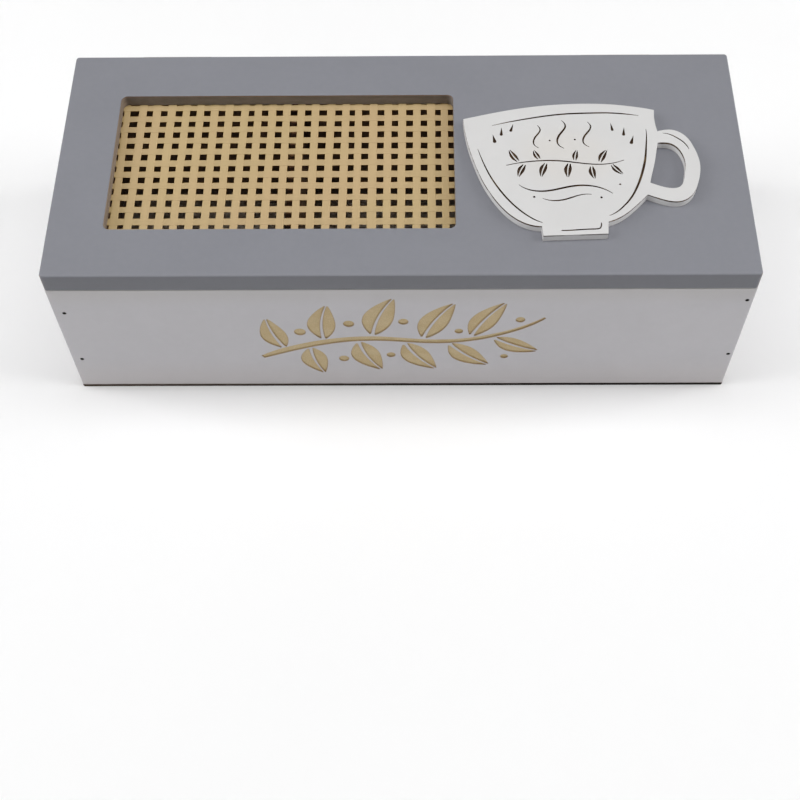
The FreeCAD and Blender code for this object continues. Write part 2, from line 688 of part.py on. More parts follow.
# ---------------------------------------------------------------- cup cut-out
# Outline in the lid's plane, corner to corner; each run is one smooth curve.
RUNS = [
    # rim, left to right
    [(22.2, 15.7), (28.0, 17.25), (35.1, 19.05), (42.7, 20.65), (50.2, 21.8), (58.0, 22.5), (64.8, 22.72),
     (72.9, 22.5), (80.7, 21.55), (85.6, 20.65), (89.85, 19.6)],
    # right side down to the handle
    [(89.85, 19.6), (89.6, 14.8), (90.15, 9.6)],
    # outside of the handle
    [(90.15, 9.6), (92.6, 10.25), (95.4, 10.25), (98.2, 8.9), (100.4, 6.4), (101.8, 3.2), (102.8, -0.3),
     (103.4, -4.6), (103.0, -9.5), (101.8, -13.9), (100.2, -17.6), (97.9, -20.3), (95.0, -21.65), (91.4, -21.5),
     (88.1, -20.4), (84.25, -18.7)],
    # bowl, right
    [(84.25, -18.7), (80.9, -22.4), (78.3, -25.05), (75.9, -27.2), (73.1, -29.0), (70.0, -30.35)],
    # foot
    [(70.0, -30.35), (69.6, -35.35)],
    [(69.6, -35.35), (47.9, -36.15)],
    [(47.9, -36.15), (47.6, -32.15)],
    # bowl, left, up to the rim
    [(47.6, -32.15), (43.9, -31.5), (40.7, -30.0), (38.1, -28.0), (35.95, -25.8), (34.0, -23.2), (32.2, -20.4),
     (30.6, -17.4), (29.1, -14.3), (26.6, -7.4), (24.5, 0.2), (23.5, 4.8), (22.8, 9.2), (22.2, 15.7)],
]
HOLE_RUNS = [
    [(89.75, 4.35), (92.5, 4.45), (94.3, 4.0), (95.6, 3.1), (96.8, 1.6), (97.7, -0.4), (98.35, -3.2), (98.3, -6.6),
     (97.7, -9.9), (97.3, -11.9), (96.6, -13.9), (95.55, -15.3), (93.9, -15.95), (91.8, -15.9), (88.6, -14.95),
     (85.55, -13.55)],
    [(85.55, -13.55), (86.6, -9.3), (87.8, -4.9), (88.8, -0.2), (89.75, 4.35)],
]


def runs_into(sk, runs):
    """Add runs of points to a sketch as joined lines and splines."""
    ids = []
    for run in runs:
        pts = [Vector(x, y, 0) for x, y in run]
        if len(pts) == 2:
            g = Part.LineSegment(pts[0], pts[1])
        else:
            g = spline(pts)
        ids.append(sk.addGeometry(g, False))
    for k in range(len(ids)):
        sk.addConstraint(Sketcher.Constraint("Coincident", ids[k], 2, ids[(k + 1) % len(ids)], 1))
    for g in ids:
        sk.addConstraint(Sketcher.Constraint("Block", g))


cup = new_body("cup_board")
sk = new_sketch(cup, "cup_outline", "XY_Plane", dz="box_high")
runs_into(sk, RUNS)
cup_pad = pad(cup, sk, "cup_pad", "cup_thick")
sk = new_sketch(cup, "cup_hole_outline", "XY_Plane", dz="box_high + cup_thick")
runs_into(sk, HOLE_RUNS)
cup_hole = pocket(cup, sk, "cup_hole", "cup_thick")
DOC.recompute()
if cup_pad.Shape.Volume - cup_hole.Shape.Volume < 300:
    raise RuntimeError("cup handle")

CUP_Z = P["box_high"] + P["cup_thick"]


def on_cup(u, v):
    return Vector(u, v, CUP_Z + 1.0)


# Drawn lines of the cup: rim, both sides of the bowl, handle, foot.
LINES = [
    ([(32.3, 12.55), (38.2, 14.25), (44.6, 15.7), (52.2, 17.15), (58.8, 17.95), (65.6, 18.25), (74.0, 18.3), (80.8, 17.6), (84.2, 17.0)],
     [0.15, 0.4, 0.55, 0.62, 0.66, 0.66, 0.6, 0.42, 0.15]),
    ([(26.95, 1.9), (28.45, -3.4), (30.5, -9.3), (33.2, -15.0), (36.3, -20.1), (39.4, -24.1), (42.8, -27.45), (46.0, -29.75), (47.9, -30.6)],
     [0.15, 0.38, 0.5, 0.6, 0.62, 0.6, 0.55, 0.4, 0.18]),
    ([(86.2, 10.7), (86.1, 6.9), (85.6, 2.9), (84.95, -2.0), (84.0, -6.3), (82.6, -11.0), (80.9, -15.4), (78.6, -19.9), (75.8, -23.6), (73.0, -26.3), (70.5, -27.8)],
     [0.15, 0.4, 0.55, 0.75, 0.85, 0.85, 0.75, 0.65, 0.55, 0.4, 0.15]),
    ([(91.9, 8.75), (94.3, 8.2), (96.5, 6.75), (98.5, 4.9), (100.0, 2.4), (100.3, 1.3)],
     [0.15, 0.35, 0.45, 0.42, 0.3, 0.14]),
    ([(54.0, -34.0), (58.0, -33.85), (62.6, -33.5), (65.9, -33.35), (66.95, -33.05), (67.4, -32.3), (67.55, -30.7)],
     [0.4, 0.5, 0.5, 0.5, 0.48, 0.44, 0.3]),
]
# Steam, a small leafy twig, a wave below it and a few drops at the sides.
STEAM = [
    ([(48.2, 2.2), (46.5, 4.9), (47.5, 7.6), (49.0, 10.0), (48.2, 12.6)], [0.18, 0.5, 0.62, 0.5, 0.18]),
    ([(57.0, 2.0), (54.8, 5.2), (56.1, 8.7), (57.9, 11.6), (56.8, 14.9)], [0.18, 0.6, 0.78, 0.6, 0.18]),
    ([(65.8, 2.6), (63.8, 5.4), (65.1, 8.5), (66.8, 11.2), (65.9, 14.1)], [0.18, 0.55, 0.7, 0.55, 0.18]),
]
TWIG = ([(36.6, -5.6), (45.0, -3.9), (55.5, -3.7), (66.0, -5.2), (77.4, -3.4)], [0.25, 0.48, 0.56, 0.48, 0.22])
TWIG_LEAVES = [
    ((40.9, -3.9), (37.9, 1.5), 1.0, 0.3), ((43.0, -5.2), (40.6, -10.9), 1.05, -0.3),
    ((48.2, -2.9), (46.4, 1.2), 0.85, 0.2), ((50.4, -4.7), (48.4, -10.9), 1.1, -0.3),
    ((58.4, -4.8), (57.6, -11.2), 1.15, -0.3), ((60.4, -3.5), (61.4, 1.2), 0.85, 0.2),
    ((66.0, -6.1), (66.8, -11.8), 1.05, -0.3), ((69.0, -4.3), (71.8, 1.2), 1.05, 0.3),
    ((73.0, -5.4), (76.6, -9.8), 0.95, -0.3),
]
SCROLLS = [
    ([(40.6, -14.2), (44.6, -16.6), (50.0, -17.0), (56.0, -15.6), (62.0, -14.6), (67.6, -15.4), (72.4, -18.2)],
     [0.2, 0.5, 0.7, 0.75, 0.7, 0.5, 0.2]),
    ([(48.4, -20.2), (52.0, -21.2), (56.4, -20.6), (60.6, -19.0), (65.2, -18.6)], [0.18, 0.45, 0.6, 0.45, 0.18]),
]
DROPS = [
    ((33.0, 5.2), (32.4, 8.6), 0.62), ((35.4, 8.4), (35.6, 11.8), 0.55), ((38.8, 10.2), (39.8, 13.4), 0.5),
    ((80.6, 4.4), (81.6, 7.8), 0.62), ((78.2, 8.2), (78.6, 11.6), 0.55), ((74.4, 10.4), (74.0, 13.8), 0.5),
]
DOTS = [(45.6, -19.6, 0.42), (68.4, -19.9, 0.42), (52.2, 5.6, 0.36), (61.0, 6.0, 0.36), (75.2, -14.2, 0.36)]


def drop(base, tip, wide, lift):
    """Closed outline of a small drop: a round end and two straight sides to the tip."""
    L = math.hypot(tip[0] - base[0], tip[1] - base[1])
    ux, uy = (tip[0] - base[0]) / L, (tip[1] - base[1]) / L

    def at(along, across):
        return lift(base[0] + ux * along - uy * across, base[1] + uy * along + ux * across)

    c = wide / L
    s = math.sqrt(1 - c * c)
    a, m, b, t = at(wide * c, wide * s), at(-wide, 0.0), at(wide * c, -wide * s), at(L, 0.0)
    return Part.Wire([Part.Arc(a, m, b).toShape(), Part.makeLine(b, t), Part.makeLine(t, a)])


wires = [ribbon(pts, w, on_cup) for pts, w in LINES + STEAM + [TWIG] + SCROLLS]
for base, tip, wide, bend in TWIG_LEAVES:
    wires += leaf_halves(base, tip, wide, 0.26, on_cup, bend)
for base, tip, wide in DROPS:
    wires.append(drop(base, tip, wide, on_cup))
for u, v, r in DOTS:
    wires.append(disc(u, v, r, on_cup, Vector(0, 0, 1)))
cup_tool = DOC.addObject("Part::Feature", "cup_lines")
cup_tool.Shape = sink(wires, Vector(0, 0, -1.0 - P["cup_groove"]))
node(cut("cup_engraved", cup, cup_tool), "cup_applique")


# -------------------------------------------------------------------- hinges
def hinge(tag, centre):
    """Butt hinge laid flat on the rear faces: two leaves, five knuckles, a pin.

    The body leaf holds knuckles 1, 3 and 5 and the pin; the lid leaf 2 and 4."""
    seg = "hinge_long / 5"
    leaves = {}
    for part_name in ("body", "lid"):
        n = "%s_%s_leaf" % (tag, part_name)
        own = (0, 2, 4) if part_name == "body" else (1, 3)
        other = (1, 3) if part_name == "body" else (0, 2, 4)
        z0 = AXIS_Z + (" - leaf_reach" if part_name == "body" else "")
        plate = box(n + "_plate", "hinge_long", "leaf_thick", "leaf_reach",
                    centre + " - hinge_long / 2", "box_deep / 2", z0)
        solids = [plate]
        for k in own:
            lo = "%s - hinge_long / 2 + %d * %s" % (centre, k, seg)
            trim_lo = "" if k == 0 else " + knuckle_play / 2"
            trim = "knuckle_play" if 0 < k < 4 else "knuckle_play / 2"
            solids.append(cylinder(n + "_knuckle_%d" % k, "knuckle_radius", seg + " - " + trim, "+X",
                                   lo + trim_lo, AXIS_Y, AXIS_Z))
        raw = fuse(n + "_raw", solids)
        tools = []
        for k in other:
            lo = "%s - hinge_long / 2 + %d * %s" % (centre, k, seg)
            low = " - 1" if k == 0 else " - knuckle_play / 2"
            size = seg + (" + 1 + knuckle_play / 2" if k in (0, 4) else " + knuckle_play")
            zc = AXIS_Z + (" - knuckle_radius - 0.2" if part_name == "body" else " - 1")
            tools.append(box(n + "_notch_%d" % k, size, "leaf_thick + 2", "knuckle_radius + 1.2",
                             lo + low, "box_deep / 2 - 1", zc))
        bore = "fixed_bore_radius" if part_name == "body" else "bore_radius"
        tools.append(cylinder(n + "_bore", bore, "hinge_long + 2", "+X",
                              centre + " - hinge_long / 2 - 1", AXIS_Y, AXIS_Z))
        tools += leaf_holes[(tag, part_name)]
        leaves[part_name] = cut(n + "_cut", raw, group(n + "_tools", tools))
    node(leaves["body"], "hinge_%s_body_leaf" % tag)
    node(leaves["lid"], "hinge_%s_lid_leaf" % tag)
    shaft = cylinder(tag + "_pin_shaft", "pin_radius", "hinge_long + 0.3", "+X",
                     centre + " - hinge_long / 2 - 0.15", AXIS_Y, AXIS_Z)
    node(shaft, "hinge_%s_pin" % tag)


for side_name, centre in HINGES.items():
    hinge(side_name, centre)

node(group("body_screw_set", screws["body"]), "hinge_screws_body")
node(group("lid_screw_set", screws["lid"]), "hinge_screws_lid")

# ------------------------------------------------------------ check and write
DOC.recompute()
bad = [o.Name for o in DOC.Objects if "Invalid" in o.State or "Error" in o.State]
if bad:
    raise RuntimeError("failed objects: " + ", ".join(bad))
for obj in NODES:
    if obj.Shape.isNull() or not obj.Shape.isValid() or not obj.Shape.Solids:
        raise RuntimeError("bad shape: " + obj.Label)

os.makedirs("parts", exist_ok=True)
for obj in NODES:
    obj.Shape.exportStep("parts/%s.step" % obj.Label)
    b = obj.Shape.BoundBox
    print("%-28s solids %2d  vol %9.1f  x %7.2f..%7.2f  y %7.2f..%7.2f  z %6.2f..%6.2f" % (
        obj.Label, len(obj.Shape.Solids), obj.Shape.Volume, b.XMin, b.XMax, b.YMin, b.YMax, b.ZMin, b.ZMax))
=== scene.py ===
"""Tea box: painted MDF case with a rattan window and a cup-shaped ornament on its hinged lid.

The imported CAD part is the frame. This script gives every surface its finish, weaves the
rattan strip by strip, and sets a pale floor, soft light and the camera.
"""
import math
import random

import bpy
import bmesh
from mathutils import Matrix, Vector


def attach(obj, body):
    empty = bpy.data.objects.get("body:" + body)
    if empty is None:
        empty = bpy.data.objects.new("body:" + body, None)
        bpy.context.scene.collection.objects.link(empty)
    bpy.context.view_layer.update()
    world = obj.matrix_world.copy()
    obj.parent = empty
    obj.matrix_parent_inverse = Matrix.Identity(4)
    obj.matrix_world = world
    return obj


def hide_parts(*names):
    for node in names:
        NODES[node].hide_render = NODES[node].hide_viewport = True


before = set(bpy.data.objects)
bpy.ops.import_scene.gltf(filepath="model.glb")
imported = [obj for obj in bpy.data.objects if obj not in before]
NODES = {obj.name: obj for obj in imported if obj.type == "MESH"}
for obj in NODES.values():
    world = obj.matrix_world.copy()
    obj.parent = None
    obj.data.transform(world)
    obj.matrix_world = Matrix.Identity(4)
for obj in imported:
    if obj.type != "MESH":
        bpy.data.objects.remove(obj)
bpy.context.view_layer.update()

MM = 0.001


# ---------------------------------------------------------------- shader helper
class Finish:
    """One material and short words for the nodes that it is wired from.

    Positions are in millimetres in the row frame.
    """

    def __init__(self, name, roughness=0.5, metallic=0.0, specular=0.5):
        self.material = bpy.data.materials.new(name)
        self.material.use_nodes = True
        self.tree = self.material.node_tree
        self.tree.nodes.clear()
        self.out = self.tree.nodes.new("ShaderNodeOutputMaterial")
        self.shader = self.tree.nodes.new("ShaderNodeBsdfPrincipled")
        self.tree.links.new(self.shader.outputs[0], self.out.inputs["Surface"])
        self.shader.inputs["Roughness"].default_value = roughness
        self.shader.inputs["Metallic"].default_value = metallic
        self.shader.inputs["Specular IOR Level"].default_value = specular
        where = self.tree.nodes.new("ShaderNodeTexCoord")
        scale = self.tree.nodes.new("ShaderNodeVectorMath")
        scale.operation = "SCALE"
        scale.inputs["Scale"].default_value = 1000.0
        self.tree.links.new(where.outputs["Object"], scale.inputs[0])
        self.at = scale.outputs[0]
        parts = self.tree.nodes.new("ShaderNodeSeparateXYZ")
        self.tree.links.new(self.at, parts.inputs[0])
        self.x, self.y, self.z = parts.outputs

    def _put(self, socket, value):
        if isinstance(value, bpy.types.NodeSocket):
            self.tree.links.new(value, socket)
        else:
            socket.default_value = value

    def calc(self, operation, a, b=None, c=None, clamp=False):
        n = self.tree.nodes.new("ShaderNodeMath")
        n.operation = operation
        n.use_clamp = clamp
        self._put(n.inputs[0], a)
        if b is not None:
            self._put(n.inputs[1], b)
        if c is not None:
            self._put(n.inputs[2], c)
        return n.outputs[0]

    def add(self, a, b):
        return self.calc("ADD", a, b)

    def sub(self, a, b):
        return self.calc("SUBTRACT", a, b)

    def mul(self, a, b):
        return self.calc("MULTIPLY", a, b)

    def top(self, a, b):
        return self.calc("MAXIMUM", a, b)

    def low(self, a, b):
        return self.calc("MINIMUM", a, b)

    def size(self, a):
        return self.calc("ABSOLUTE", a)

    def rise(self, value, start, end, low=0.0, high=1.0):
        """low before start, high after end, smooth between."""
        n = self.tree.nodes.new("ShaderNodeMapRange")
        n.interpolation_type = "SMOOTHSTEP"
        self._put(n.inputs["Value"], value)
        n.inputs["From Min"].default_value = start
        n.inputs["From Max"].default_value = end
        n.inputs["To Min"].default_value = low
        n.inputs["To Max"].default_value = high
        return n.outputs["Result"]

    def band(self, value, start, end, soft):
        """1 between start and end, 0 outside."""
        return self.mul(self.rise(value, start - soft, start + soft),
                        self.rise(value, end - soft, end + soft, 1.0, 0.0))

    def stretch(self, by, shift=(0.0, 0.0, 0.0)):
        n = self.tree.nodes.new("ShaderNodeMapping")
        n.inputs["Scale"].default_value = by
        n.inputs["Location"].default_value = shift
        self.tree.links.new(self.at, n.inputs["Vector"])
        return n.outputs[0]

    def noise(self, by=(1.0, 1.0, 1.0), detail=3.0, rough=0.5, warp=0.0, shift=(0.0, 0.0, 0.0)):
        n = self.tree.nodes.new("ShaderNodeTexNoise")
        n.inputs["Scale"].default_value = 1.0
        n.inputs["Detail"].default_value = detail
        n.inputs["Roughness"].default_value = rough
        n.inputs["Distortion"].default_value = warp
        self.tree.links.new(self.stretch(by, shift), n.inputs["Vector"])
        return n.outputs["Fac"]

    def cells(self, by=(1.0, 1.0, 1.0), shift=(0.0, 0.0, 0.0)):
        n = self.tree.nodes.new("ShaderNodeTexVoronoi")
        n.inputs["Scale"].default_value = 1.0
        self.tree.links.new(self.stretch(by, shift), n.inputs["Vector"])
        return n.outputs["Distance"]

    def attribute(self, name):
        n = self.tree.nodes.new("ShaderNodeAttribute")
        n.attribute_name = name
        return n.outputs["Fac"]

    def ramp(self, value, *stops):
        n = self.tree.nodes.new("ShaderNodeValToRGB")
        line = n.color_ramp
        while len(line.elements) < len(stops):
            line.elements.new(0.5)
        for e, (place, colour) in zip(line.elements, stops):
            e.position = place
            e.color = (*colour, 1.0)
        self._put(n.inputs[0], value)
        return n.outputs["Color"]

    def mix(self, value, a, b, way="MIX"):
        n = self.tree.nodes.new("ShaderNodeMix")
        n.data_type = "RGBA"
        n.blend_type = way
        self._put(n.inputs[0], value)
        for socket, colour in ((n.inputs[6], a), (n.inputs[7], b)):
            if isinstance(colour, bpy.types.NodeSocket):
                self.tree.links.new(colour, socket)
            else:
                socket.default_value = (*colour, 1.0)
        return n.outputs[2]

    def tint(self, colour, value):
        """colour times a grey value."""
        n = self.tree.nodes.new("ShaderNodeVectorMath")
        n.operation = "SCALE"
        if isinstance(colour, bpy.types.NodeSocket):
            self.tree.links.new(colour, n.inputs[0])
        else:
            n.inputs[0].default_value = colour
        self._put(n.inputs["Scale"], value)
        return n.outputs[0]

    def colour(self, value):
        self._put(self.shader.inputs["Base Color"], value)

    def roughness(self, value):
        self._put(self.shader.inputs["Roughness"], value)

    def bump(self, height, depth, strength=1.0):
        """height runs 0..1 and stands for depth millimetres."""
        n = self.tree.nodes.new("ShaderNodeBump")
        n.inputs["Strength"].default_value = strength
        n.inputs["Distance"].default_value = depth * MM
        self._put(n.inputs["Height"], height)
        self.tree.links.new(n.outputs[0], self.shader.inputs["Normal"])


def wear(obj, finish):
    obj.data.materials.clear()
    obj.data.materials.append(finish.material)


# ---------------------------------------------------------------- colours (linear)
PAINT_WHITE = (0.534, 0.522, 0.545)
PAINT_GREY = (0.232, 0.236, 0.262)
MDF = (0.308, 0.190, 0.124)
MDF_RIM = (0.258, 0.153, 0.079)
MDF_INNER = (0.520, 0.385, 0.275)
MDF_BACK = (0.620, 0.505, 0.365)
BURNT = (0.085, 0.060, 0.042)
SCORCH = (0.170, 0.110, 0.070)
BEIGE = (0.595, 0.476, 0.285)
CUP_WHITE = (0.645, 0.640, 0.635)
RATTAN = (0.500, 0.372, 0.192)


def raw_board(f, base, shift):
    """Colour of bare MDF: pressed fibre with fine flecks and soft cloudy patches."""
    fleck = f.noise((1.7, 1.7, 1.7), 4.0, 0.65, 0.0, shift)
    cloud = f.noise((0.035, 0.035, 0.035), 3.0, 0.5, 0.4, shift)
    shade = f.add(f.rise(fleck, 0.25, 0.75, 0.90, 1.10), f.rise(cloud, 0.3, 0.7, -0.05, 0.05))
    return f.tint(base, shade), fleck


# ---------------------------------------------------------------- case panels: painted outside, bare inside
def case_panel(name, engraved, shift, inner, nails=()):
    f = Finish(name, 0.55, 0.0, 0.4)
    out = f.top(f.sub(f.size(f.x), 120.0), f.sub(f.size(f.y), 50.0))
    ragged = f.mul(f.sub(f.noise((0.9, 0.9, 0.9), 3.0, 0.6, 0.0, shift), 0.5), 0.35)
    painted = f.rise(f.add(out, ragged), -0.42, -0.30)

    # the pressed faces inside are paler than the sawn rim
    bare, fleck = raw_board(f, inner, shift)
    fall = f.noise((0.020, 0.020, 0.050), 3.0, 0.5, 0.3, shift)
    bare = f.tint(bare, f.rise(fall, 0.3, 0.7, 0.97, 1.03))
    # the lower part is paler: painted light, bounced up from the floor of the box
    bare = f.mix(f.rise(f.z, 48.0, 14.0, 0.0, 0.42), bare, (0.700, 0.590, 0.480))
    # painted shade darkens the joints: the corners, both sides of each divider and the foot of the wall
    ax = f.size(f.x)
    near = f.low(f.size(f.sub(ax, 114.0)), f.size(f.sub(f.size(f.sub(ax, 38.5)), 1.5)))
    painted_joint_shade = f.mul(f.rise(near, 0.15, 0.75, 1.0, 0.0), f.rise(f.size(f.y), 43.5, 43.9))
    painted_joint_shade = f.top(painted_joint_shade, f.rise(f.z, 2.9, 2.3))
    bare = f.mix(f.mul(painted_joint_shade, 0.60), bare, (0.150, 0.110, 0.075))
    rim_bare, _ = raw_board(f, MDF_RIM, shift)
    side_bare, _ = raw_board(f, MDF, shift)
    long_wall = f.rise(f.size(f.y), 43.9, 44.1)
    rim = f.rise(f.z, 61.35, 61.60)
    inside = f.mix(rim, bare, f.mix(long_wall, side_bare, rim_bare))
    # a painted highlight lightens the eased arris along the inner edge of the rim
    painted_arris_highlight = f.mul(f.band(f.z, 61.42, 61.66, 0.07), f.rise(f.noise((0.05, 0.05, 0.0), 2.0, 0.5, 0.0, shift), 0.35, 0.6, 0.25, 1.0))
    inside = f.mix(f.mul(painted_arris_highlight, 0.55), inside, (0.560, 0.420, 0.290))

    cloud = f.noise((0.030, 0.030, 0.030), 3.0, 0.5, 0.3, shift)
    mist = f.noise((0.35, 0.35, 0.35), 2.0, 0.5, 0.0, shift)
    shade = f.add(f.rise(cloud, 0.3, 0.7, 0.985, 1.015), f.rise(mist, 0.3, 0.7, -0.008, 0.008))
    white = f.tint(PAINT_WHITE, shade)
    # painted shade: the top of the painted face, just under the lid, is darker
    painted_shade_under_lid = f.rise(f.z, 50.8, 61.3, 0.0, 0.45)
    white = f.mix(painted_shade_under_lid, white, (0.476, 0.456, 0.436))
    foot = f.rise(f.z, 2.0, 22.0, 0.5, 0.0)
    white = f.mix(foot, white, (0.584, 0.544, 0.535))
    colour = f.mix(painted, inside, white)
    # the punched paint round each nail head is dark
    for px, pz in nails:
        ax, az = f.sub(f.x, px), f.sub(f.z, pz)
        reach = f.calc("SQRT", f.add(f.mul(ax, ax), f.mul(az, az)))
        colour = f.mix(f.mul(painted, f.rise(reach, 0.86, 0.62)), colour, (0.050, 0.046, 0.044))

    stipple = f.noise((2.2, 2.2, 2.2), 2.0, 0.55, 0.0, shift)
    if engraved:
        deep = f.add(f.y, 50.0)
        here = f.mul(f.mul(f.rise(f.size(f.x), 53.5, 54.0, 1.0, 0.0), f.band(f.z, 7.5, 59.2, 0.2)),
                     f.rise(deep, 0.85, 1.2, 1.0, 0.0))
        speck = f.noise((2.6, 2.6, 2.6), 4.0, 0.7, 0.0, shift)
        patch = f.noise((0.10, 0.10, 0.16), 3.0, 0.5, 0.6, shift)
        floor = f.tint(f.mix(f.rise(patch, 0.35, 0.65), BEIGE, (0.566, 0.438, 0.252)),
                       f.rise(speck, 0.25, 0.75, 0.86, 1.12))
        burnt = f.mix(f.rise(speck, 0.3, 0.7), (0.416, 0.305, 0.199), (0.513, 0.389, 0.266))
        shoulder = f.mul(here, f.rise(deep, 0.02, 0.08))
        base = f.mul(here, f.rise(deep, 0.26, 0.38))
        colour = f.mix(shoulder, colour, burnt)
        colour = f.mix(base, colour, floor)
        stipple = f.mix(base, stipple, speck)
    f.colour(colour)
    f.roughness(f.rise(painted, 0.0, 1.0, 0.85, 0.46))
    f.bump(f.mix(painted, fleck, stipple), 0.035, 0.6)
    return f


wear(NODES["front_panel"], case_panel("white_painted_mdf_front", True, (3.0, 1.0, 7.0), MDF_INNER,
                                       ((-116.1, 48.5), (-116.3, 19.1), (117.7, 55.0), (118.0, 21.3))))
wear(NODES["back_panel"], case_panel("white_painted_mdf_back", False, (13.0, 5.0, 2.0), MDF_BACK,
                                      ((-117.3, 50.6), (-116.6, 20.4), (116.9, 49.2), (117.4, 18.6))))
wear(NODES["side_panel_left"], case_panel("white_painted_mdf_left", False, (23.0, 9.0, 4.0), MDF_INNER))
wear(NODES["side_panel_right"], case_panel("white_painted_mdf_right", False, (31.0, 3.0, 9.0), MDF_INNER))


def divider_board(name, shift):
    f = Finish(name, 0.85, 0.0, 0.3)
    bare, fleck = raw_board(f, MDF_INNER, shift)
    # the lower part is paler: painted light, bounced up from the floor of the box
    bare = f.mix(f.rise(f.z, 48.0, 14.0, 0.0, 0.42), bare, (0.700, 0.590, 0.480))
    edge_bare, _ = raw_board(f, (0.288, 0.186, 0.116), shift)
    rim = f.rise(f.z, 61.35, 61.6)
    f.colour(f.mix(rim, bare, edge_bare))
    f.bump(fleck, 0.04, 0.6)
    return f


wear(NODES["divider_left"], divider_board("raw_mdf_left", (2.0, 8.0, 5.0)))
wear(NODES["divider_right"], divider_board("raw_mdf_right", (7.0, 4.0, 1.0)))


# ---------------------------------------------------------------- bottom board: whitewashed planks on its top
def bottom_board():
    f = Finish("whitewashed_board", 0.62, 0.0, 0.35)
    sway = f.mul(f.sub(f.noise((0.020, 0.05, 0.0), 3.0, 0.5, 0.0, (4.0, 2.0, 0.0)), 0.5), 3.0)
    wob = f.mul(f.sub(f.noise((0.07, 0.02, 0.0), 3.0, 0.5, 0.0, (9.0, 1.0, 0.0)), 0.5), 1.4)

    # soft wisps of wash over the fibres
    grain = f.noise((0.045, 0.62, 1.0), 5.0, 0.62, 0.7, (1.0, 0.0, 0.0))
    broad = f.noise((0.022, 0.13, 1.0), 3.0, 0.5, 0.5, (6.0, 3.0, 0.0))
    wash = f.ramp(grain, (0.28, (0.520, 0.450, 0.375)), (0.44, (0.672, 0.618, 0.552)),
                  (0.58, (0.733, 0.690, 0.632)), (0.76, (0.820, 0.792, 0.752)))
    wash = f.mix(f.rise(broad, 0.35, 0.65, 0.0, 0.50), wash, (0.778, 0.740, 0.686))

    # lifted fibres: short dark slits, each with a white lip in front of it, a painted highlight of the lifted edge
    slit = f.noise((0.085, 1.05, 1.0), 2.5, 0.50, 0.55, (2.0, 7.0, 0.0))
    lip = f.noise((0.085, 1.05, 1.0), 2.5, 0.50, 0.55, (2.0, 7.55, 0.0))
    y1 = f.add(f.y, sway)
    torn = f.top(f.band(y1, -7.0, 5.5, 3.0), f.band(y1, 33.0, 48.0, 4.0))
    torn = f.top(torn, f.mul(f.band(y1, 8.0, 12.5, 2.0), 0.8))
    torn = f.top(torn, f.rise(broad, 0.48, 0.66, 0.10, 0.75))
    calm = f.rise(f.y, -26.0, -25.0)
    dark = f.mul(f.mul(f.rise(slit, 0.420, 0.345), torn), calm)
    wash = f.mix(f.mul(dark, 0.85), wash, (0.285, 0.200, 0.130))
    white = f.mul(f.mul(f.rise(lip, 0.445, 0.370), torn), calm)
    wash = f.mix(f.mul(white, f.sub(0.90, f.mul(dark, 0.90))), wash, (0.930, 0.918, 0.895))
    fine = f.noise((0.16, 2.3, 1.0), 2.0, 0.5, 0.4, (5.0, 1.0, 0.0))
    wash = f.mix(f.mul(f.mul(f.rise(fine, 0.36, 0.27), calm), 0.40), wash, (0.400, 0.310, 0.225))

    smooth = f.mix(f.rise(grain, 0.3, 0.7), (0.755, 0.702, 0.628), (0.815, 0.768, 0.700))
    wash = f.mix(calm, smooth, wash)

    # joints between the printed planks
    lines = None
    for place, wide, weight in ((6.5, 1.15, 0.76), (-18.0, 0.50, 0.70), (-25.4, 0.38, 0.62),
                                (19.5, 0.30, 0.26)):
        here = f.size(f.sub(f.add(f.y, wob if place != -25.4 else f.mul(wob, 0.4)), place))
        strength = f.rise(f.noise((0.06, 0.4, 0.0), 3.0, 0.6, 0.0, (place, 5.0, 0.0)), 0.36, 0.62,
                          weight * 0.30, weight)
        one = f.mul(f.rise(here, wide * 0.15, wide, 1.0, 0.0), strength)
        lines = one if lines is None else f.top(lines, one)
    wash = f.mix(lines, wash, (0.330, 0.240, 0.160))
    # beside the walls and dividers the floor is darker and browner
    ax = f.size(f.x)
    gap = f.low(f.sub(f.size(f.sub(ax, 38.5)), 1.5), f.sub(114.0, ax))
    gap = f.add(gap, f.mul(f.sub(broad, 0.5), 5.0))
    wash = f.mix(f.rise(gap, 0.2, 5.5, 0.46, 0.0), wash, (0.470, 0.360, 0.270))
    # a tan strip where the board meets the back wall, and painted shade as a dark line in the joint itself
    wash = f.mix(f.rise(f.y, 40.2, 43.2, 0.0, 0.50), wash, (0.500, 0.360, 0.260))
    wash = f.mix(f.rise(f.y, 43.45, 43.85, 0.0, 0.70), wash, (0.120, 0.100, 0.070))

    bare, fleck = raw_board(f, (0.300, 0.190, 0.120), (5.0, 5.0, 5.0))
    top = f.rise(f.z, 1.85, 1.97)
    colour = f.mix(top, bare, wash)
    # sawn edge, scorched, with the wall paint running over its upper part
    out = f.top(f.sub(f.size(f.x), 120.0), f.sub(f.size(f.y), 50.0))
    edge = f.rise(out, -0.35, -0.10)
    char = f.mix(f.rise(f.x, -120.0, 60.0), (0.075, 0.058, 0.045), (0.020, 0.015, 0.012))
    colour = f.mix(edge, colour, char)
    lip = f.add(f.z, f.mul(f.noise((0.25, 0.25, 0.0), 2.0, 0.5), 0.25))
    colour = f.mix(f.mul(edge, f.rise(lip, 1.62, 1.74)), colour, (0.560, 0.520, 0.510))
    f.colour(colour)
    f.bump(f.mix(top, fleck, grain), 0.05, 0.45)
    return f


wear(NODES["bottom_panel"], bottom_board())


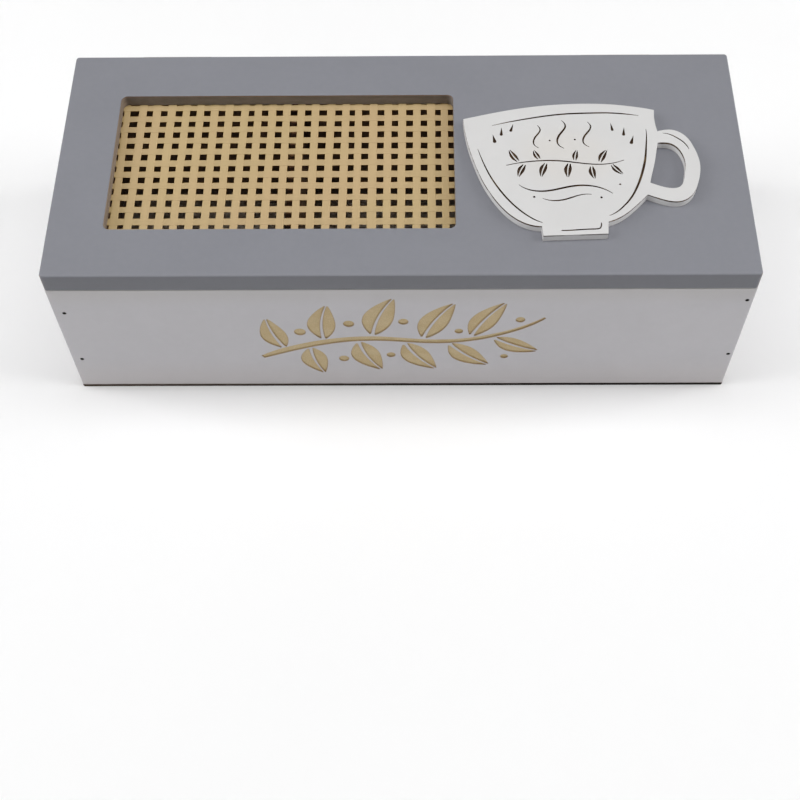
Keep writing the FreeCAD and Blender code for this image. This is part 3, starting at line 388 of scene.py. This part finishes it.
# ---------------------------------------------------------------- lid board
def lid_board():
    f = Finish("grey_painted_mdf", 0.42, 0.0, 0.4)
    shift = (4.0, 6.0, 3.0)
    out = f.top(f.top(f.sub(f.size(f.x), 120.0), f.sub(f.size(f.y), 50.0)), f.sub(f.z, 70.0))
    ragged = f.mul(f.sub(f.noise((0.8, 0.8, 0.8), 3.0, 0.6, 0.0, shift), 0.5), 0.25)
    painted = f.rise(f.add(out, ragged), -0.34, -0.22)
    cloud = f.noise((0.022, 0.030, 0.022), 3.0, 0.5, 0.4, shift)
    mist = f.noise((0.4, 0.4, 0.4), 2.0, 0.5, 0.0, shift)
    shade = f.add(f.rise(cloud, 0.3, 0.7, 0.98, 1.02), f.rise(mist, 0.3, 0.7, -0.010, 0.010))
    # the board's sawn edge is painted darker than its faces: painted shade on the side faces of the lid
    edge = f.mul(f.rise(f.top(f.sub(f.size(f.x), 120.0), f.sub(f.size(f.y), 50.0)), -0.55, -0.10),
                 f.rise(f.z, 69.15, 69.85, 1.0, 0.0))
    shade = f.mul(shade, f.rise(edge, 0.0, 1.0, 1.0, 0.660))
    grey = f.tint(PAINT_GREY, shade)
    # a painted highlight along the lower lip of the lid, standing for the body's white reflected there
    lip = f.mul(f.rise(f.z, 62.35, 61.95), f.rise(out, -0.6, -0.2))
    grey = f.mix(f.mul(lip, 0.7), grey, (0.300, 0.297, 0.300))

    bare, fleck = raw_board(f, MDF, (8.0, 2.0, 6.0))
    # towards its ends the bare face is greyer
    cool = f.top(f.rise(f.x, -118.0, -58.0, 1.0, 0.0), f.rise(f.x, 96.0, 120.0, 0.0, 0.30))
    bare = f.mix(f.mul(cool, 0.85), bare, f.tint(bare, (0.80)))
    bare = f.mix(f.mul(cool, 0.75), bare, (0.240, 0.176, 0.140))
    scratch = f.mul(f.mul(f.rise(f.size(f.sub(f.add(f.y, f.mul(f.x, 0.02)), 24.0)), 0.18, 0.05),
                          f.band(f.x, 70.0, 96.0, 4.0)), 0.35)
    bare = f.mix(scratch, bare, (0.24, 0.14, 0.085))
    # the window and the rebate are cut by laser and keep a scorched wall
    depth = f.low(f.sub(f.z, 61.8), f.sub(69.9, f.z))
    wall = f.rise(depth, 0.30, 0.55)
    char = f.noise((0.25, 0.25, 0.9), 3.0, 0.6, 0.3, shift)
    far = f.mix(f.rise(char, 0.3, 0.7), (0.206, 0.191, 0.182), (0.236, 0.216, 0.206))
    near = f.mix(f.rise(char, 0.3, 0.7), (0.250, 0.206, 0.172), (0.298, 0.247, 0.209))
    # the end walls of the window are lighter than its long walls: painted light and shade, a lit and a shaded copy
    # of one scorched wall
    far = f.mix(f.rise(f.size(f.add(f.x, 40.5)), 58.6, 60.0), far, near)
    inner = f.mix(wall, bare, far)
    thin = f.mul(f.rise(f.z, 69.25, 69.45), f.rise(f.z, 69.75, 69.95, 1.0, 0.0))
    thin = f.mul(thin, f.rise(f.y, 26.0, 28.5, 0.6, 0.0))
    inner = f.mix(thin, inner, (0.42, 0.30, 0.20))
    f.colour(f.mix(painted, inner, grey))
    f.roughness(f.rise(painted, 0.0, 1.0, 0.85, 0.40))
    stipple = f.noise((2.0, 2.0, 2.0), 2.0, 0.55, 0.0, shift)
    f.bump(f.mix(painted, fleck, stipple), 0.030, 0.5)
    return f


wear(NODES["lid_panel"], lid_board())


# ---------------------------------------------------------------- metal
def metal(name, base, rough, grain):
    f = Finish(name, rough, 1.0, 0.5)
    line = f.noise(grain, 3.0, 0.6)
    f.colour(f.tint(base, f.rise(line, 0.3, 0.7, 0.90, 1.06)))
    f.roughness(f.rise(line, 0.2, 0.8, rough - 0.06, rough + 0.10))
    f.bump(line, 0.01, 0.4)
    return f


hinge_plate = metal("hinge_steel_plate", (0.600, 0.545, 0.465), 0.44, (0.15, 3.0, 3.0))
hinge_turned = metal("hinge_steel_turned", (0.560, 0.510, 0.440), 0.38, (3.0, 0.3, 3.0))
for n in NODES:
    if n.startswith("hinge_") and not n.startswith("hinge_screws"):
        wear(NODES[n], hinge_plate)
    elif n.startswith("hinge_screws"):
        wear(NODES[n], hinge_turned)
nail_metal = metal("nail_steel_dark", (0.030, 0.028, 0.026), 0.62, (2.0, 2.0, 2.0))
for n in ("nails_front", "nails_back", "nails_bottom"):
    wear(NODES[n], nail_metal)


# ---------------------------------------------------------------- rattan weave
# Gaps of the webbing, left to right and front to back, in mm at the weave's top:
# (start, end, lean of the start, lean of the end), a lean being the drift over 60 or 120 mm.
GAPS_X = [(-103.05, -100.42, -0.55, -0.55), (-97.85, -95.17, -1.20, 0.02), (-92.36, -89.91, 0.13, -0.28),
          (-87.01, -84.70, -0.38, -0.14), (-81.78, -79.38, -0.11, 0.25), (-76.65, -74.20, 0.17, 0.09),
          (-71.42, -68.89, -0.10, -0.22), (-66.12, -63.74, -0.19, -0.02), (-60.87, -58.34, -0.04, 0.81),
          (-55.56, -53.16, 0.93, 0.15), (-50.42, -48.10, -0.01, 0.36), (-45.29, -42.76, 0.51, 0.15),
          (-40.02, -37.46, 0.23, 0.22), (-34.85, -32.41, 0.35, 0.24), (-29.63, -26.91, 0.21, 0.62),
          (-24.10, -21.45, 0.72, 0.51), (-18.66, -16.60, 0.33, 0.18), (-14.01, -11.45, -0.03, 0.26),
          (-8.41, -5.98, -0.19, 0.19), (-3.35, -1.02, 0.42, 0.37), (1.75, 4.33, 0.51, 0.41),
          (7.08, 9.49, 0.32, 0.24), (12.34, 14.49, 0.35, 0.10), (17.00, 19.85, 0.20, 0.20)]
GAPS_Y = [(-31.45, -30.30, -0.30, -0.30), (-26.98, -25.04, -0.60, -0.10), (-22.17, -19.55, -0.05, -0.12),
          (-16.90, -14.23, 0.01, -0.11), (-11.60, -9.10, -0.21, -0.28), (-6.23, -4.05, 0.09, -0.35),
          (-1.10, 1.45, -0.00, 0.31), (4.27, 6.63, 0.36, -0.12), (9.19, 11.84, -0.39, -0.17),
          (14.46, 17.17, -0.17, -0.04), (19.75, 22.23, -0.08, 0.03), (24.92, 27.43, 0.04, 0.06),
          (30.05, 32.55, 0.00, 0.00)]
WEAVE_MID = 65.215
WEAVE_SWING = 0.038
WEAVE_THICK = 0.12
WEAVE_X = (-107.05, 24.7)
WEAVE_Y = (-35.25, 35.65)


def wander(rng, knots, amount):
    """A smooth random line through evenly spaced knots."""
    values = [rng.gauss(0.0, amount) for _ in range(knots + 3)]

    def at(t):
        t = min(max(t, 0.0), 1.0) * (knots - 1)
        i = int(t)
        u = t - i
        u = u * u * (3 - 2 * u)
        return values[i] * (1 - u) + values[i + 1] * u
    return at


def plateau(t):
    """Height along a strip between two crossings: flat on each, a smooth slope in the gap."""
    t = min(max((t - 0.27) / 0.46, 0.0), 1.0)
    return t * t * (3 - 2 * t)


TURN = 1.1      # radius of the turn where a strip's end is folded down a wall of the rebate
FOLD = 3.35     # how far down the folded end reaches


def path_of(p, start, end, fold_start, fold_end):
    """Place along the strip, depth below the sheet and the slope of the strip at distance p."""
    if fold_start and p < start + TURN:
        over = start + TURN - p
        side = -1.0
        edge = start
    elif fold_end and p > end - TURN:
        over = p - (end - TURN)
        side = 1.0
        edge = end
    else:
        return p, 0.0, 0.0
    arc = TURN * math.pi / 2
    if over < arc:
        a = over / TURN
        return edge - side * TURN * (1 - math.sin(a)), TURN * (1 - math.cos(a)), side * a
    return edge, TURN + over - arc, side * math.pi / 2


def weave(name, along, gaps, other, span_along, lean_over, parity, seed, fold_start=False, fold_end=False):
    """One direction of the webbing. along is 0 for strips that run along X, 1 for Y."""
    rng = random.Random(seed)
    lows = [gaps[0][0] - 2.75 if along == 1 else gaps[0][0] - 2.72] + [g[1] for g in gaps]
    highs = [g[0] for g in gaps] + [gaps[-1][1] + 2.75]
    leans_low = [gaps[0][2]] + [g[3] for g in gaps]
    leans_high = [g[2] for g in gaps] + [gaps[-1][3]]
    # middles of the strips that this one crosses
    cross = [(a + b) / 2 for a, b in zip([other[0][0] - 2.75] + [g[1] for g in other],
                                         [g[0] for g in other] + [other[-1][1] + 2.75])]
    profile = [(-1.0, -0.45), (-0.985, 0.35), (-0.93, 0.78), (-0.80, 0.95), (-0.4, 1.0), (0.0, 1.02), (0.4, 1.0),
               (0.80, 0.95), (0.93, 0.78), (0.985, 0.35), (1.0, -0.45), (0.93, -0.85), (0.4, -1.0), (-0.4, -1.0),
               (-0.93, -0.85)]
    verts, faces, edge, tone, bare = [], [], [], [], []
    start, end = span_along
    extra = FOLD - TURN + TURN * math.pi / 2 - TURN
    run_start = start - (extra if fold_start else 0.0)
    run_end = end + (extra if fold_end else 0.0)
    steps = int(round((run_end - run_start) / 5.225 * 10))
    for k, (lo, hi) in enumerate(zip(lows, highs)):
        left = wander(rng, 28 if along == 0 else 15, 0.055)
        right = wander(rng, 28 if along == 0 else 15, 0.055)
        lift = wander(rng, 9, 0.010)
        shade = rng.uniform(-1.0, 1.0)
        first_end = run_start + rng.uniform(0.0, 0.6)
        last_end = run_end - rng.uniform(0.0, 0.6)
        ring0 = len(verts)
        for s in range(steps + 1):
            t = s / steps
            p = first_end + (last_end - first_end) * t
            a = lo + leans_low[k] * p / lean_over + left(t)
            b = hi + leans_high[k] * p / lean_over + right(t)
            # height: over or under each strip that is crossed
            if p <= cross[0]:
                h = 1.0 if (k + 0 + parity) % 2 else -1.0
                near = 0.0
            elif p >= cross[-1]:
                h = 1.0 if (k + len(cross) - 1 + parity) % 2 else -1.0
                near = 0.0
            else:
                i = max(j for j in range(len(cross)) if cross[j] <= p)
                u = (p - cross[i]) / (cross[i + 1] - cross[i])
                h0 = 1.0 if (k + i + parity) % 2 else -1.0
                h = h0 * (1 - 2 * plateau(u))
                near = math.sin(math.pi * u) ** 2
            place, drop, slope = path_of(p, start, end, fold_start, fold_end)
            if drop > 0.0:
                near = 0.0
            z = WEAVE_SWING * h + lift(t)
            mid, half = (a + b) / 2, (b - a) / 2
            for u, v in profile:
                q = mid + half * u
                w = z + v * WEAVE_THICK / 2
                out = place + w * math.sin(slope)
                w = WEAVE_MID - drop + w * math.cos(slope)
                co = (out, q, w) if along == 0 else (q, out, w)
                verts.append(tuple(c * MM for c in co))
                edge.append(abs(u))
                tone.append(shade)
                bare.append(near)
        n = len(profile)
        for s in range(steps):
            for i in range(n):
                j = (i + 1) % n
                r0, r1 = ring0 + s * n, ring0 + (s + 1) * n
                quad = (r0 + i, r0 + j, r1 + j, r1 + i)
                faces.append(quad if along == 1 else quad[::-1])
        cap0 = tuple(ring0 + i for i in range(n))
        cap1 = tuple(ring0 + steps * n + i for i in range(n))
        faces.append(cap0[::-1] if along == 1 else cap0)
        faces.append(cap1 if along == 1 else cap1[::-1])
    mesh = bpy.data.meshes.new(name)
    mesh.from_pydata(verts, [], faces)
    for label, values in (("edge", edge), ("tone", tone), ("open", bare)):
        a = mesh.attributes.new(label, "FLOAT", "POINT")
        a.data.foreach_set("value", values)
    bm = bmesh.new()
    bm.from_mesh(mesh)
    bmesh.ops.recalc_face_normals(bm, faces=bm.faces)
    bm.to_mesh(mesh)
    bm.free()
    mesh.polygons.foreach_set("use_smooth", [len(p.vertices) == 4 for p in mesh.polygons])
    obj = bpy.data.objects.new(name, mesh)
    bpy.context.scene.collection.objects.link(obj)
    return obj


def rattan(name, along, shift):
    f = Finish(name, 0.50, 0.0, 0.35)
    fine = (0.10, 3.4, 1.0) if along == 0 else (3.4, 0.10, 1.0)
    fibre = f.noise(fine, 4.0, 0.6, 0.0, shift)
    patch = f.noise((0.030, 0.030, 0.1), 3.0, 0.5, 0.5, (1.0, 2.0, 3.0))
    tone = f.attribute("tone")
    rim = f.rise(f.attribute("edge"), 0.72, 1.0)
    gap = f.attribute("open")
    shade = f.add(f.rise(fibre, 0.25, 0.75, 0.975, 1.02), f.mul(tone, 0.006))
    if along == 0:
        # between two gaps the strip is a little darker than where it crosses another
        shade = f.sub(shade, f.mul(gap, 0.085))
    else:
        # the sides of a gap catch the light on the strip's rounded edge
        shade = f.add(shade, f.mul(f.mul(rim, gap), 0.14))
    base = f.mix(f.rise(patch, 0.35, 0.65), RATTAN, (0.512, 0.372, 0.200))
    f.colour(f.tint(base, shade))
    f.roughness(f.rise(fibre, 0.2, 0.8, 0.44, 0.60))
    f.bump(fibre, 0.03, 0.5)
    return f


# A strip along Y passes over one along X where their numbers add up to an odd number, so one is up where the
# other is down all over the sheet.
cross_piece = weave("rattan_weave_crosswise", 1, GAPS_X, GAPS_Y, WEAVE_Y, 60.0, 1, 11, fold_end=True)
long_piece = weave("rattan_weave_lengthwise", 0, GAPS_Y, GAPS_X, WEAVE_X, 120.0, 0, 23, fold_start=True)
wear(cross_piece, rattan("rattan_crosswise", 1, (5.0, 0.0, 0.0)))
wear(long_piece, rattan("rattan_lengthwise", 0, (0.0, 9.0, 0.0)))
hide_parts("rattan_strips_crosswise")
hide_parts("rattan_strips_lengthwise")
for piece in (cross_piece, long_piece):
    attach(piece, "lid")


# ---------------------------------------------------------------- cup ornament
def cup():
    """The CAD cup with its engraved channels told apart from its outer wall."""
    source = NODES["cup_applique"]
    mesh = source.data.copy()
    mesh.name = "cup_ornament"
    cut = [0.0] * len(mesh.polygons)
    for p in mesh.polygons:
        heights = [mesh.vertices[v].co.z / MM for v in p.vertices]
        if min(heights) > 72.2 and min(heights) < 72.99:
            cut[p.index] = 1.0
    mark = mesh.attributes.new("engraved", "FLOAT", "FACE")
    mark.data.foreach_set("value", cut)
    obj = bpy.data.objects.new("cup_ornament", mesh)
    bpy.context.scene.collection.objects.link(obj)
    return obj


def cup_finish():
    f = Finish("cup_white", 0.42, 0.0, 0.4)
    shift = (2.0, 2.0, 2.0)
    cloud = f.noise((0.05, 0.05, 0.05), 3.0, 0.5, 0.3, shift)
    white = f.tint(CUP_WHITE, f.rise(cloud, 0.3, 0.7, 0.985, 1.015))
    # a faint cream haze round the engraved middle
    dx = f.mul(f.sub(f.x, 57.0), 1 / 19.0)
    dy = f.mul(f.sub(f.y, -2.0), 1 / 15.0)
    away = f.calc("SQRT", f.add(f.mul(dx, dx), f.mul(dy, dy)))
    haze = f.mul(f.rise(away, 0.45, 1.15, 1.0, 0.0), f.rise(cloud, 0.3, 0.7, 0.5, 1.0))
    white = f.mix(f.mul(haze, 0.45), white, (0.650, 0.610, 0.555))
    # the cut sides are lighter than the top: painted light standing in for the light that reaches the sides
    side = f.rise(f.z, 72.97, 72.90)
    painted_lit_side = f.mix(f.rise(f.noise((0.3, 0.3, 2.0), 3.0, 0.5, 0.0, shift), 0.3, 0.7), (0.820, 0.806, 0.800), (0.868, 0.858, 0.852))
    white = f.mix(side, white, painted_lit_side)
    # thin scorched arris, and painted contact shade along the foot where the ornament meets the lid
    burn = f.mul(f.band(f.z, 72.38, 72.92, 0.05), f.rise(f.noise((0.09, 0.09, 0.0), 2.0, 0.5, 0.0, (7.0, 1.0, 0.0)), 0.34, 0.50, 0.35, 1.0))
    white = f.mix(f.mul(burn, 0.88), white, (0.105, 0.088, 0.076))
    foot = f.rise(f.z, 70.26, 70.06)
    white = f.mix(f.mul(foot, 0.48), white, (0.160, 0.150, 0.148))
    # engraved channels
    cut = f.attribute("engraved")
    speck = f.noise((3.0, 3.0, 3.0), 3.0, 0.6, 0.0, shift)
    burnt = f.mix(f.rise(speck, 0.3, 0.7), (0.055, 0.038, 0.028), (0.150, 0.105, 0.072))
    gold = f.noise((0.12, 0.12, 0.0), 2.0, 0.5, 0.3, (3.0, 8.0, 0.0))
    burnt = f.mix(f.rise(gold, 0.52, 0.66, 0.0, 0.55), burnt, (0.33, 0.235, 0.145))
    f.colour(f.mix(cut, white, burnt))
    f.roughness(f.rise(cut, 0.0, 1.0, 0.42, 0.85))
    f.bump(f.noise((2.4, 2.4, 2.4), 2.0, 0.5, 0.0, shift), 0.02, 0.4)
    return f


cup_piece = cup()
wear(cup_piece, cup_finish())
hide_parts("cup_applique")
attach(cup_piece, "lid")


# ---------------------------------------------------------------- floor and backdrop
def studio():
    """A round floor that rises into a low wall all the way round."""
    rings = []
    flat = 1.6
    for i in range(14):
        rings.append((flat * (i + 1) / 14, 0.0))
    for i in range(1, 17):
        a = math.pi / 2 * i / 16
        rings.append((flat + 0.9 * math.sin(a), 0.9 * (1 - math.cos(a))))
    rings.append((flat + 0.9, 1.7))
    n = 96
    verts = [(0.0, 0.0, 0.0)]
    for r, z in rings:
        for k in range(n):
            a = 2 * math.pi * k / n
            verts.append((r * math.cos(a), r * math.sin(a), z))
    faces = []
    for k in range(n):
        faces.append((0, 1 + k, 1 + (k + 1) % n))
    for i in range(len(rings) - 1):
        for k in range(n):
            a, b = 1 + i * n + k, 1 + i * n + (k + 1) % n
            faces.append((a, a + n, b + n, b))
    mesh = bpy.data.meshes.new("studio_floor")
    mesh.from_pydata(verts, [], faces)
    mesh.polygons.foreach_set("use_smooth", [True] * len(mesh.polygons))
    obj = bpy.data.objects.new("studio_floor", mesh)
    bpy.context.scene.collection.objects.link(obj)
    f = Finish("studio_white", 0.9, 0.0, 0.1)
    # even white paper all over
    f.colour(f.tint((0.940, 0.940, 0.940), f.rise(f.noise((0.004, 0.004, 0.004), 2.0, 0.5), 0.3, 0.7, 0.995, 1.005)))
    wear(obj, f)
    return obj


studio()


# ---------------------------------------------------------------- light
def softbox(name, place, aim, size, power, colour=(1.0, 1.0, 1.0)):
    data = bpy.data.lights.new(name, "AREA")
    data.shape = "RECTANGLE"
    data.size, data.size_y = size
    data.energy = power
    data.color = colour
    obj = bpy.data.objects.new(name, data)
    obj.location = place
    obj.rotation_euler = (Vector(aim) - Vector(place)).to_track_quat("-Z", "Y").to_euler()
    bpy.context.scene.collection.objects.link(obj)
    return obj


softbox("softbox_top", (0.0, 0.0, 1.70), (0.0, 0.0, 0.0), (1.6, 0.8), 14.5)
softbox("softbox_left", (-1.50, 0.0, 1.10), (0.0, 0.0, 0.0), (0.9, 1.2), 14.5)
softbox("softbox_right", (1.50, 0.0, 1.10), (0.0, 0.0, 0.0), (0.9, 1.2), 14.5)

world = bpy.data.worlds.new("studio_air")
world.use_nodes = True
world.node_tree.nodes["Background"].inputs[0].default_value = (1.0, 1.0, 1.0, 1.0)
world.node_tree.nodes["Background"].inputs[1].default_value = 0.05
bpy.context.scene.world = world
bpy.context.scene.view_settings.view_transform = "Standard"
bpy.context.scene.view_settings.look = "None"


def tone_curve():
    """A photographic toe: deep shadows fall off faster than the light does, the rest is left alone."""
    settings = bpy.context.scene.view_settings
    settings.use_curve_mapping = True
    mapping = settings.curve_mapping
    mapping.use_clip = False
    line = mapping.curves[3]
    for x, y in ((0.020, 0.0090), (0.045, 0.0270), (0.080, 0.0650), (0.130, 0.1220), (0.200, 0.2000)):
        line.points.new(x, y)
    for point in line.points:
        point.handle_type = "VECTOR"
    mapping.update()


tone_curve()


# ---------------------------------------------------------------- camera
def camera():
    yaw, pitch, roll = (math.radians(a) for a in (1.19970168, 59.28630815, -1.17809979))
    turn = Matrix.Rotation(yaw, 3, "Z")
    right = turn @ Vector((1.0, 0.0, 0.0))
    ahead = turn @ Vector((0.0, math.cos(pitch), -math.sin(pitch)))
    up = turn @ Vector((0.0, math.sin(pitch), math.cos(pitch)))
    r = right * math.cos(roll) + up * math.sin(roll)
    u = up * math.cos(roll) - right * math.sin(roll)
    m = Matrix((r, u, -ahead)).transposed().to_4x4()
    m.translation = Vector((4.63708, -309.86170, 426.77967)) * MM
    data = bpy.data.cameras.new("camera")
    data.sensor_fit = "HORIZONTAL"
    data.sensor_width = 36.0
    data.lens = 1329.7911 / 800.0 * 36.0
    data.clip_start = 0.01
    data.clip_end = 20.0
    obj = bpy.data.objects.new("camera", data)
    obj.matrix_world = m
    bpy.context.scene.collection.objects.link(obj)
    bpy.context.scene.camera = obj


camera()
